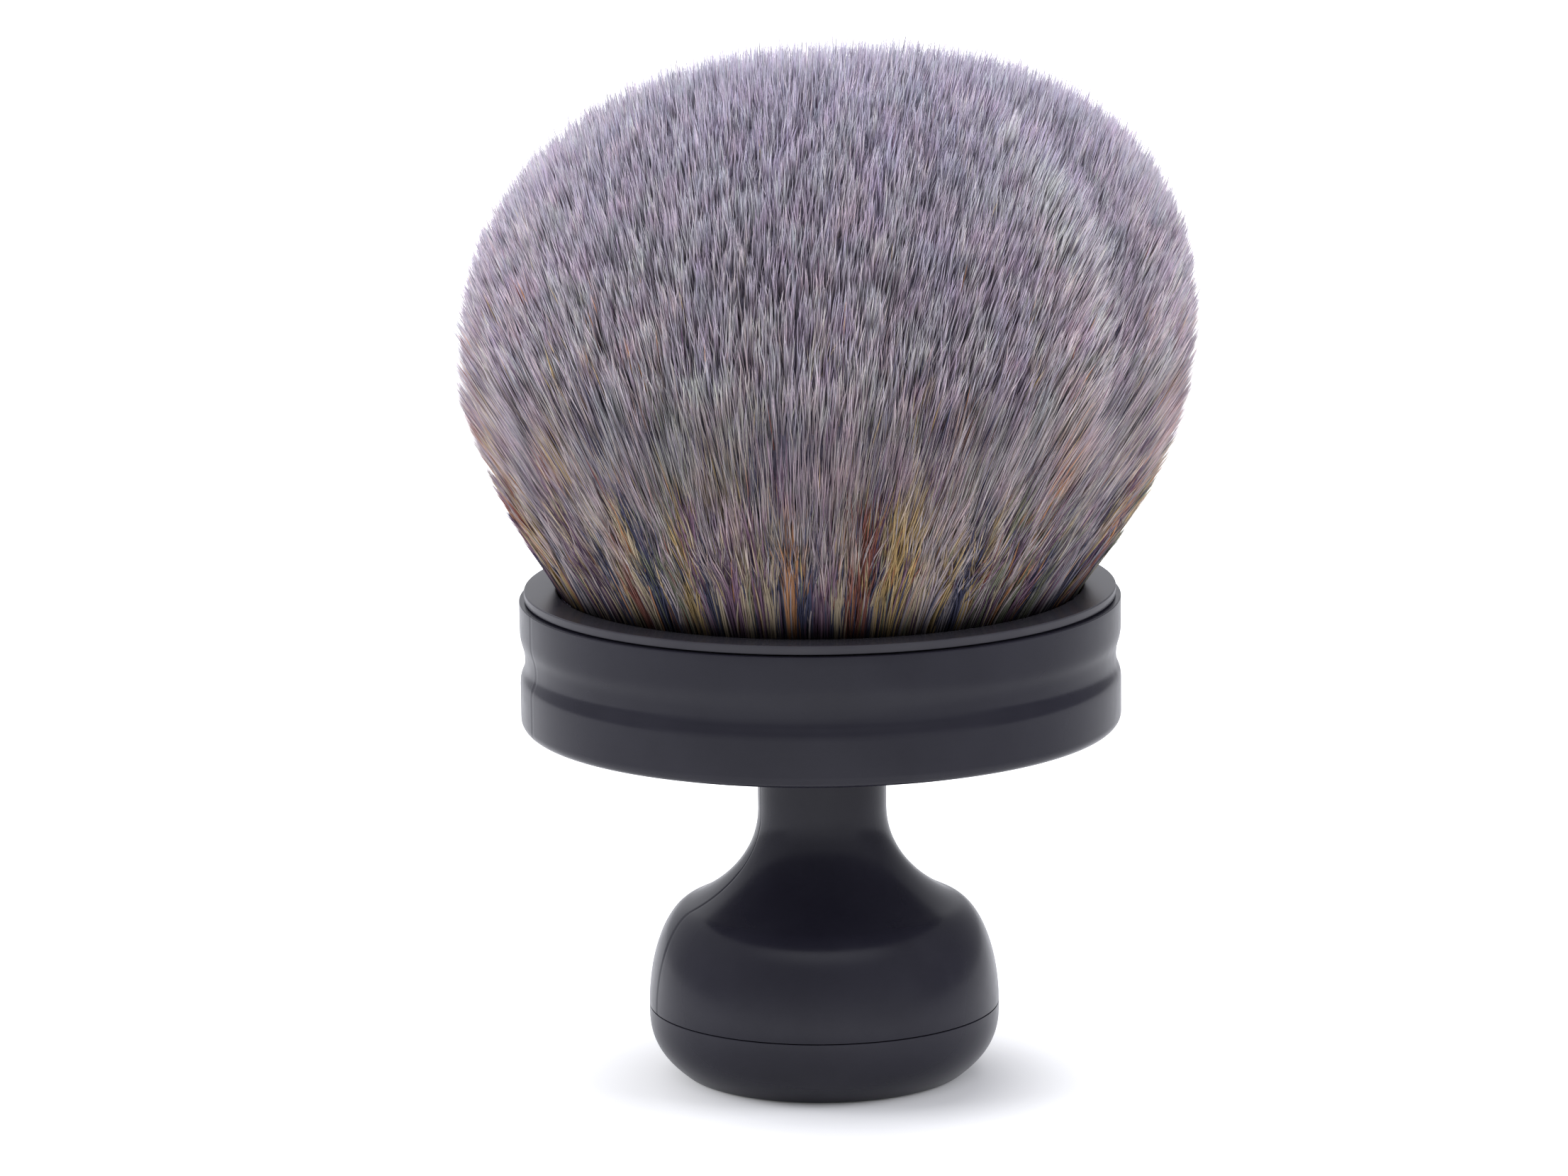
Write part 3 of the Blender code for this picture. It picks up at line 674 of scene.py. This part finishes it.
# %% [markdown]
# One fold runs down the front right of the dome: the tips rise to a low ridge there, sink beside it, and
# sink again below its end. Clouds of tips also sink here and there on the lower half, where the tuft
# looks uneven and dark. A bell curve over the angle round the axis gives the fold its soft flanks, and
# a smooth noise at the tips gives the clouds.

# %% Fold and hollows
degrees_round = np.degrees(around)
FOLD_HEIGHT, FOLD_DIP, CLOUD_SIZE, CLOUD_DEPTH, BELOW_FOLD = 1.2, 0.3, 4.5, 3.5, 1.6


def bell(middle, width):
    """1 at an angle in degrees round the axis, and falling off softly on both sides."""
    return np.exp(-(((degrees_round - middle) / width) ** 2))


def cloud_at(size, shift=(0, 0, 0)):
    """A smooth noise at every tip, with clouds of about size millimetres."""
    return np.array([noise.noise(Vector(tip) / size + Vector(shift)) for tip in tips])


fold = FOLD_HEIGHT * bell(-46, 5) - FOLD_DIP * bell(-35, 6)
fold *= np.clip((share - 0.2) / 0.2, 0, 1) * np.clip((0.95 - share) / 0.1, 0, 1)
drift += fold[:, None] * (outward + (0, 0, 0.4))
hollow = np.clip(cloud_at(CLOUD_SIZE) - 0.08, 0, None) * CLOUD_DEPTH * (0.1 + low)
hollow += BELOW_FOLD * bell(-47, 12) * np.clip((70 - tips[:, 2]) / 8, 0, 1)
print("hollows sink up to", hollow.max().round(1), "mm")

# %% [markdown]
# Most fibres are the same length to within a millimetre, and one in six is up to 4 mm shorter. A
# fibre is made only down to where the tuft hides it, several millimetres under the skin. That is a
# short last stretch for one from the middle of the disc, and the whole length for one from the rim.

# %% Lengths and thickness
SHORT_ONES, SHORTEST_BY, HIDDEN_DEPTH, IN_THE_RESIN, RIM_SHARE = 0.17, 4.0, 4.5, -0.01, 0.93
THICKNESS, THINNEST, THICKEST = 0.145, 0.07, 0.24

short_by = chance.normal(0.4, 0.45, FIBRES) * (1 + low + 0.4 * top)
short_by = short_by + np.abs(chance.normal(0, 0.3, len(leaders)))[wisp] * (0.5 + low) + hollow
shorter = chance.random(FIBRES) < SHORT_ONES
short_by[shorter] += chance.uniform(0, SHORTEST_BY, shorter.sum())
reach = 1 - short_by / (tips[:, 2] - ROOT_LEVEL)

rises, share_steps = np.linspace(0, 1, 120), np.linspace(0, 1, 160)
grid_share, grid_rise = np.meshgrid(share_steps, rises, indexing="ij")
lines = course(grid_share, np.full(grid_share.shape, BACKWARDS), grid_rise)
hidden = depth_at(lines[..., 1], lines[..., 2]) > HIDDEN_DEPTH
last_hidden = rises[len(rises) - 1 - np.argmax(hidden[:, ::-1], axis=1)]
begin = np.interp(share, share_steps, np.where(hidden.any(axis=1), last_hidden, IN_THE_RESIN))
full_length = share > RIM_SHARE
begin[full_length] = IN_THE_RESIN

thick = np.clip(chance.normal(THICKNESS, 0.03, FIBRES), THINNEST, THICKEST) * (1 - 0.3 * top + 0.3 * low)
spin = chance.uniform(0, math.tau, FIBRES)
print("full-length fibres:", int(full_length.sum()), "of", FIBRES)

# %% [markdown]
# No two fibres are quite the same grey. The tone of one comes from its own chance and from that of its wisp.
# The lower a fibre ends the paler it is, which is painted light on the skirt, and there the fibres of one
# narrow strand are alike. The top of the dome is a little darker, as painted shade. The ridge of the fold is
# paler, as painted light where it catches more, and the flank just beside it is darker, as painted shade.
# Two broad patches, on the front and on the right of the dome, are paler as painted light, and a third below
# the fold is darker as painted shade. Last, soft dark blotches lie on the lower half. These tones are
# painted into the colour and are not made by the lamps, so they stay with the brush when it is seen from
# elsewhere.

# %% Tones
def patch_of(middle, width, bottom, top_level):
    """1 round the middle angle and between the two levels, and falling off softly beyond them."""
    above = np.clip((tips[:, 2] - bottom) / 8 + 0.5, 0, 1)
    below = np.clip((top_level - tips[:, 2]) / 8 + 0.5, 0, 1)
    return above * below * bell(middle, width)


STRAND_DEGREES, STRAND_RINGS, BLOTCH_SIZE = 0.9, 26, 3.2

painted_ridge_light_and_shade = bell(-49, 6.5) - 0.35 * bell(-35, 5)
painted_ridge_light_and_shade *= np.clip((share - 0.2) / 0.15, 0, 1) * np.clip((tips[:, 2] - 66) / 10, 0, 1)
painted_light_and_shade_patches = 0.15 * patch_of(-95, 25, 0, 82) + 0.27 * patch_of(-27, 9, 68, 82) - 0.16 * patch_of(-42, 16, 0, 65)
blotch = np.clip((cloud_at(BLOTCH_SIZE, (7, 3, 1)) - 0.12) / 0.25, 0, 1)
blotch *= np.clip((88 - tips[:, 2]) / 12, 0, 1)
strand = ((degrees_round + 180) // STRAND_DEGREES).astype(int), (share * STRAND_RINGS).astype(int)
strand_table = chance.normal(0, 0.33, (round(360 / STRAND_DEGREES) + 1, STRAND_RINGS + 1))
# Painted light and shade in the tone: paler low on the skirt, a little darker on top, paler on the ridge and
# two patches, darker beside the ridge and below the fold.
tone = 0.5 - 0.04 * top + 0.22 * low + 0.23 * painted_ridge_light_and_shade + painted_light_and_shade_patches - 0.2 * blotch + strand_table[strand] * low
tone = tone + chance.normal(0, 0.17, FIBRES) * (1 + 0.8 * low)
tone = np.clip(tone + chance.normal(0, 0.1, len(leaders))[wisp], 0, 1)
print("tips in dark blotches:", int((blotch > 0.5).sum()), "mean tone:", tone.mean().round(2))

# %% [markdown]
# Dye sits in bunches. The root disc is divided into small fields, at most a millimetre wide and about
# three deep, and each field has its own dye and its own height up to which the dye reaches. Most fibres
# of a field share its dye, a few share that of a wider field, and the others pick their own.
#
# The fields of dye and of height come from two numbered series of their own. Each fills a table of twice
# the width, whose second half is used. Any numbers would give a believable brush. These two were chosen
# because they set ochre, rust and navy bunches near the places where the real one has them.

# %% Dyes
FIELDS_ROUND, FIELDS_OUT, WIDE_ROUND = 160, 9, 48
DYE_SERIES, HEIGHT_SERIES = 434294, 386194
SHARED_BY, SHARED_WIDELY_BY = 0.65, 0.75
LOWEST_DYE, HIGHER_DYE, DYE_STRAY = 4.5, 13, 2.5

blurred_degrees = degrees_round + chance.normal(0, 0.4, FIBRES)
way_round = ((blurred_degrees + 180) / (360 / FIELDS_ROUND)).astype(int) % FIELDS_ROUND
field = way_round, (share * FIELDS_OUT).astype(int)
narrow_field, field_height = (
    np.random.default_rng(series).random((FIELDS_ROUND, 2 * FIELDS_OUT))[:, FIELDS_OUT:]
    for series in (DYE_SERIES, HEIGHT_SERIES))
own, wide_field = chance.random(FIBRES), chance.random((WIDE_ROUND, FIELDS_OUT // 2 + 1))
wide = (field[0] * WIDE_ROUND // FIELDS_ROUND, field[1] // 2)
luck = chance.random(FIBRES)
dye_pick = np.where(luck < SHARED_BY, narrow_field[field],
                    np.where(luck < SHARED_WIDELY_BY, wide_field[wide], own))
dye_stray = chance.exponential(DYE_STRAY, FIBRES) * (1 + 1.6 * (chance.random(FIBRES) < 0.3))
dye_top = LOWEST_DYE + HIGHER_DYE * (field_height**2)[field] + dye_stray
print("dye reaches up to", dye_top.max().round(1), "mm above the roots")

# %% [markdown]
# Now the copies go to their places. Each point of a fibre takes its rise from its height on the model,
# the course gives the spot for that rise, and drift and stray bend it away, most at the tip. The same
# points get their marks: tone, dye, height, depth, and the cover of dye. That is full near the roots
# and fades over 5 mm, but a faint touch of it goes on higher up, and a stronger one in the blotches.

# %% Lay a bundle along its courses
MARKED_HEIGHT, MARKED_DEPTH = 54, 6


def lay_fibres(name, chosen, levels, thickness):
    """Moves each copy of the fibre to one of the chosen courses and gives it its marks."""
    count = len(chosen)
    mesh = bundle(unfold(one_fibre(levels, thickness)), count)
    points = np.zeros(len(mesh.vertices) * 3)
    mesh.vertices.foreach_get("co", points)
    points = points.reshape(count, -1, 3)
    points[..., 0] -= COPY_STEP * np.arange(count)[:, None]
    along = points[..., 2]
    pick = (chosen, np.newaxis)
    rise = begin[pick] + (reach[pick] - begin[pick]) * along
    laid = course(share[pick] + 0 * rise, around[pick] + 0 * rise, rise)
    laid += drift[chosen][:, None] * (along * np.clip(rise, 0, 1))[..., None] ** 1.3
    laid += stray[chosen][:, None] * (along**2)[..., None]
    above_root = laid[..., 2] - ROOT_LEVEL
    depth = depth_at(np.hypot(laid[..., 0] - lean(laid[..., 2]), laid[..., 1]), laid[..., 2])
    cos, sin = np.cos(spin[pick]), np.sin(spin[pick])
    laid[..., 0] += (points[..., 0] * cos - points[..., 1] * sin) * thick[pick]
    laid[..., 1] += (points[..., 0] * sin + points[..., 1] * cos) * thick[pick]
    mesh.vertices.foreach_set("co", (laid * MM).ravel())

    marks = np.empty((*rise.shape, 4))
    marks[..., 0] = tone[pick]
    marks[..., 1] = dye_pick[pick]
    marks[..., 2] = np.clip(above_root / MARKED_HEIGHT, 0, 1)
    marks[..., 3] = np.clip(depth * (1 + 0.4 * low[pick]) / MARKED_DEPTH, 0, 1)
    mesh.attributes.new("fibre_marks", "FLOAT_COLOR", "POINT").data.foreach_set("color", marks.ravel())
    near_roots = 0.96 * np.clip((dye_top[pick] - above_root) / 5 + 0.5, 0, 1)
    higher_up = 0.24 * np.clip((26 - above_root) / 12, 0, 1)
    in_blotches = 0.32 * blotch[pick] * np.clip((38 - above_root) / 8, 0, 1)
    cover = np.maximum(np.maximum(near_roots, higher_up), in_blotches)
    mesh.attributes.new("dyed", "FLOAT", "POINT").data.foreach_set("value", cover.ravel())

    layer = mesh.uv_layers["OFBake"].uv
    places = np.zeros(len(layer) * 2)
    layer.foreach_get("vector", places)
    side = math.ceil(math.sqrt(count))
    cells = np.stack([np.arange(count) % side, np.arange(count) // side], axis=-1)[:, None]
    places = (places.reshape(count, -1, 2) + cells) / side
    layer.foreach_set("vector", places.ravel())
    mesh.update()
    mesh.calc_loop_triangles()
    add_piece(name, mesh, dyed_fibre, "fibre", "bristle_tuft")


# %% [markdown]
# One mesh of all fibres would be too heavy to handle, so they are laid in bundles by eighths and
# quarters of the round. Short stretches from the middle of the disc need one bend, the longer ones of
# the belly two, and the whole fibres of the skirt three. Where a fibre is cut off inside the tuft it is
# thicker, which closes the gaps behind it.

# %% Lay all the fibres
DOME_SHARE = 0.6
eighth = ((around + math.pi) / (math.pi / 4)).astype(int) % 8
short_ones, long_ones = share < DOME_SHARE, (share >= DOME_SHARE) & ~full_length
for number in range(4):
    quarter = eighth // 2 == number
    lay_fibres(f"dome_fibres_{number + 1}", np.flatnonzero(quarter & short_ones), (0.6,), (2.2, 1.05, 0))
    lay_fibres(f"skirt_fibres_{number + 1}", np.flatnonzero(quarter & full_length),
               (0.25, 0.5, 0.78), (1.2, 1.1, 1, 0.75, 0))
for number in range(8):
    lay_fibres(f"belly_fibres_{number + 1}", np.flatnonzero((eighth == number) & long_ones),
               (0.45, 0.76), (1.7, 1.15, 0.8, 0))

# %% [markdown]
# ## Pieces inside
#
# Five pieces hold the brush together where nobody looks: a nylon band round the roots, the resin in the
# cup, a screw with its washer and a steel ballast ring in the knob. Their measured shapes are good
# enough to stay, and only get finishes, so that an exploded view shows believable parts.

# %% Finishes: nylon, resin and steels
band_nylon, tree, shader = new_finish("band_nylon", 0.5)
weave = ramp(tree, grain(tree, 0.5, stretch=(1, 1, 3)),
             [(0.3, (0.47, 0.455, 0.41)), (0.7, (0.6, 0.585, 0.54))])
tree.links.new(weave, shader.inputs["Base Color"])
roughen(tree, shader, grain(tree, 0.4, stretch=(1, 1, 3)), 0.03, 0.5)

amber_resin, tree, shader = new_finish("amber_resin", 0.25)
tree.links.new(ramp(tree, grain(tree, 3, 3), [(0.3, (0.13, 0.075, 0.025)), (0.7, (0.27, 0.175, 0.07))]),
               shader.inputs["Base Color"])
roughen(tree, shader, grain(tree, 2), 0.08, 0.5)


def turned_steel(name, dark, light, ring_size):
    """Steel with the fine rings that a lathe leaves, and a gloss that varies with them."""
    material, tree, shader = new_finish(name, 0.35, metallic=1.0)
    place = node(tree, "ShaderNodeTexCoord").outputs["Object"]
    parts = node(tree, "ShaderNodeSeparateXYZ", {"Vector": place})
    flat = node(tree, "ShaderNodeCombineXYZ", {"X": parts.outputs["X"], "Y": parts.outputs["Y"]})
    off_axis = node(tree, "ShaderNodeVectorMath", {"Vector": flat.outputs["Vector"]}, operation="LENGTH")
    total = reckoned(tree, "ADD", off_axis.outputs["Value"], parts.outputs["Z"])
    rings = node(tree, "ShaderNodeTexNoise", {"W": total, "Scale": 1 / (ring_size * MM), "Detail": 2.0},
                 noise_dimensions="1D").outputs["Fac"]
    tree.links.new(ramp(tree, rings, [(0.3, dark), (0.7, light)]), shader.inputs["Base Color"])
    tree.links.new(ramp(tree, rings, [(0.3, 0.28), (0.7, 0.44)]), shader.inputs["Roughness"])
    roughen(tree, shader, rings, 0.01, 0.4)
    return material


zinc_steel = turned_steel("zinc_steel", (0.50, 0.51, 0.53), (0.62, 0.63, 0.65), 0.12)
ballast_steel = turned_steel("ballast_steel", (0.33, 0.33, 0.34), (0.46, 0.46, 0.47), 0.2)
for name, material in (("knot_band", band_nylon), ("root_resin", amber_resin), ("neck_screw", zinc_steel),
                       ("screw_washer", zinc_steel), ("base_weight", ballast_steel)):
    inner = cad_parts[name]
    inner.data.materials.clear()
    inner.data.materials.append(material)
    print("finished", name)

# %% [markdown]
# ## Floor
#
# The brush stands on a white table. A plain white floor would look grey wherever the lamps reach it less, so
# this one glows a little. The glow starts weak round the foot and grows to pure white farther out, so the
# darker floor round the foot is partly the real soft shadow and partly painted shadow from the weaker glow.
# It is meant for the eye: black plastic that mirrored all of it would turn grey at its edges, so reflections
# get a small share. The table itself is a little darker far out and to the right, because it throws light up
# at the collar, which is dimmer on that side.

# %% Floor
FLOOR_HALF_SIZE, FLOOR_LEVEL = 3, -0.05 * MM
SHADOW_CENTRE, GLOW_REACH, MIRRORED_SHARE = (4 * MM, -6 * MM, 0), 160 * MM, 0.15

floor_bm = bmesh.new()
bmesh.ops.create_grid(floor_bm, x_segments=1, y_segments=1, size=FLOOR_HALF_SIZE)
bmesh.ops.translate(floor_bm, vec=(0, 0, FLOOR_LEVEL), verts=floor_bm.verts)
floor_mesh = bpy.data.meshes.new("floor")
floor_bm.to_mesh(floor_mesh)
floor_bm.free()
floor = bpy.data.objects.new("floor", floor_mesh)
bpy.context.scene.collection.objects.link(floor)

white_table, tree, shader = new_finish("white_table", 0.9, specular=0.0)
rays = node(tree, "ShaderNodeLightPath").outputs
mirrored = reckoned(tree, "MAXIMUM", rays["Is Glossy Ray"], rays["Is Transmission Ray"])
seen = reckoned(tree, "MAXIMUM", rays["Is Camera Ray"], reckoned(tree, "MULTIPLY", mirrored, MIRRORED_SHARE))
place = node(tree, "ShaderNodeTexCoord").outputs["Object"]
away = node(tree, "ShaderNodeVectorMath", {0: place, 1: SHADOW_CENTRE}, operation="DISTANCE")
how_far = reckoned(tree, "DIVIDE", away.outputs["Value"], GLOW_REACH)
# Painted shadow: the glow is weak round the foot, which darkens the floor there besides its real shadow.
glow_with_painted_shadow = ramp(tree, how_far, [(0.07, 0.05), (0.135, 0.36), (0.26, 0.56), (0.375, 0.65), (0.8, 1.0)])
paper = ramp(tree, how_far, [(0.4, (0.75, 0.75, 0.76)), (0.85, (0.58, 0.58, 0.59))])
to_the_right = spread(tree, node(tree, "ShaderNodeSeparateXYZ", {"Vector": place}).outputs["X"], -0.12, 0.12)
dimmer = ramp(tree, to_the_right, [(0.0, 0.97), (0.3, 1.0), (0.66, 1.0), (0.92, 0.78)])
tree.links.new(blended(tree, "MULTIPLY", 1.0, paper, dimmer), shader.inputs["Base Color"])
shader.inputs["Emission Color"].default_value = (1, 1, 1, 1)
tree.links.new(reckoned(tree, "MULTIPLY", seen, glow_with_painted_shadow), shader.inputs["Emission Strength"])
floor.data.materials.append(white_table)
print("floor is ready")

# %% [markdown]
# ## Room and lamps
#
# The room answers three questions. What does the eye see of it? Pure white. How much light does it
# give? An even, soft one, rather less from the front. And what does black plastic mirror of it? Here a
# white room would turn all black grey, so it mirrors a studio: dim in front but bright high up, pale
# straight behind, dimmer to the left and dimmest to the right. That gives the plastic its nearly black
# front and its pale flanks. A panorama picture could do the same, but a few ramps over the direction
# are easier to tune.
#
# Three wide soft lamps, above and at both sides, shape the tuft. They don't show in reflections.

# %% Room
LIGHT_OF_THE_ROOM, DIMMER_IN_FRONT = 0.89, 0.6

world = bpy.data.worlds.new("white_room")
bpy.context.scene.world = world
world.use_nodes = True
tree = world.node_tree
background = tree.nodes["Background"]
rays = node(tree, "ShaderNodeLightPath").outputs
seen = reckoned(tree, "MAXIMUM", rays["Is Camera Ray"], rays["Is Glossy Ray"])
seen = reckoned(tree, "MAXIMUM", seen, rays["Is Transmission Ray"])
direction = node(tree, "ShaderNodeTexCoord").outputs["Generated"]
way = node(tree, "ShaderNodeSeparateXYZ", {"Vector": direction}).outputs
front = spread(tree, way["Y"], -0.15, -0.7, "SMOOTHSTEP")
dark_front = ramp(tree, way["Z"], [(0.0, 0.95), (0.15, 0.60), (0.3, 0.46), (0.56, 0.44),
                                   (0.70, 1.2), (0.80, 1.6)])
sides = ramp(tree, spread(tree, way["X"], -1.0, 1.0),
             [(0.0, 0.43), (0.35, 0.73), (0.55, 0.73), (0.75, 0.40), (1.0, 0.24)])
soft_light = mixed(tree, reckoned(tree, "MULTIPLY", front, DIMMER_IN_FRONT), LIGHT_OF_THE_ROOM, dark_front)
lighting = reckoned(tree, "MULTIPLY", soft_light, LIGHT_OF_THE_ROOM)
reflected = mixed(tree, seen, lighting, mixed(tree, front, sides, dark_front))
shown = reckoned(tree, "MAXIMUM", reflected, rays["Is Camera Ray"])
tree.links.new(shown, background.inputs["Strength"])
white = blended(tree, "MIX", rays["Is Camera Ray"], (0.93, 0.94, 1.0), (1, 1, 1))
tree.links.new(white, background.inputs["Color"])
print("room is ready")


# %% Lamps
def soft_lamp(name, place, aim, width, height, watts):
    """A large rectangular lamp that points at aim."""
    data = bpy.data.lights.new(name, "AREA")
    data.shape, data.size, data.size_y, data.energy = "RECTANGLE", width, height, watts
    data.color = (0.95, 0.96, 1.0)
    lamp = bpy.data.objects.new(name, data)
    lamp.location = place
    lamp.rotation_euler = (Vector(aim) - Vector(place)).to_track_quat("-Z", "Y").to_euler()
    lamp.visible_glossy = False
    bpy.context.scene.collection.objects.link(lamp)


soft_lamp("lamp_above", (0.05, 0.20, 0.80), (0, 0, 0.05), 0.6, 0.5, 3.65)
soft_lamp("lamp_left", (-0.75, 0.00, 0.38), (0, 0, 0.07), 0.5, 0.5, 3.9)
soft_lamp("lamp_right", (0.72, -0.15, 0.42), (0, 0, 0.07), 0.5, 0.5, 3.55)
print("lamps are ready")

# %% [markdown]
# ## Look settings
#
# Standard view keeps written colours as they are.

# %% Set the look
bpy.context.scene.view_settings.view_transform = "Standard"
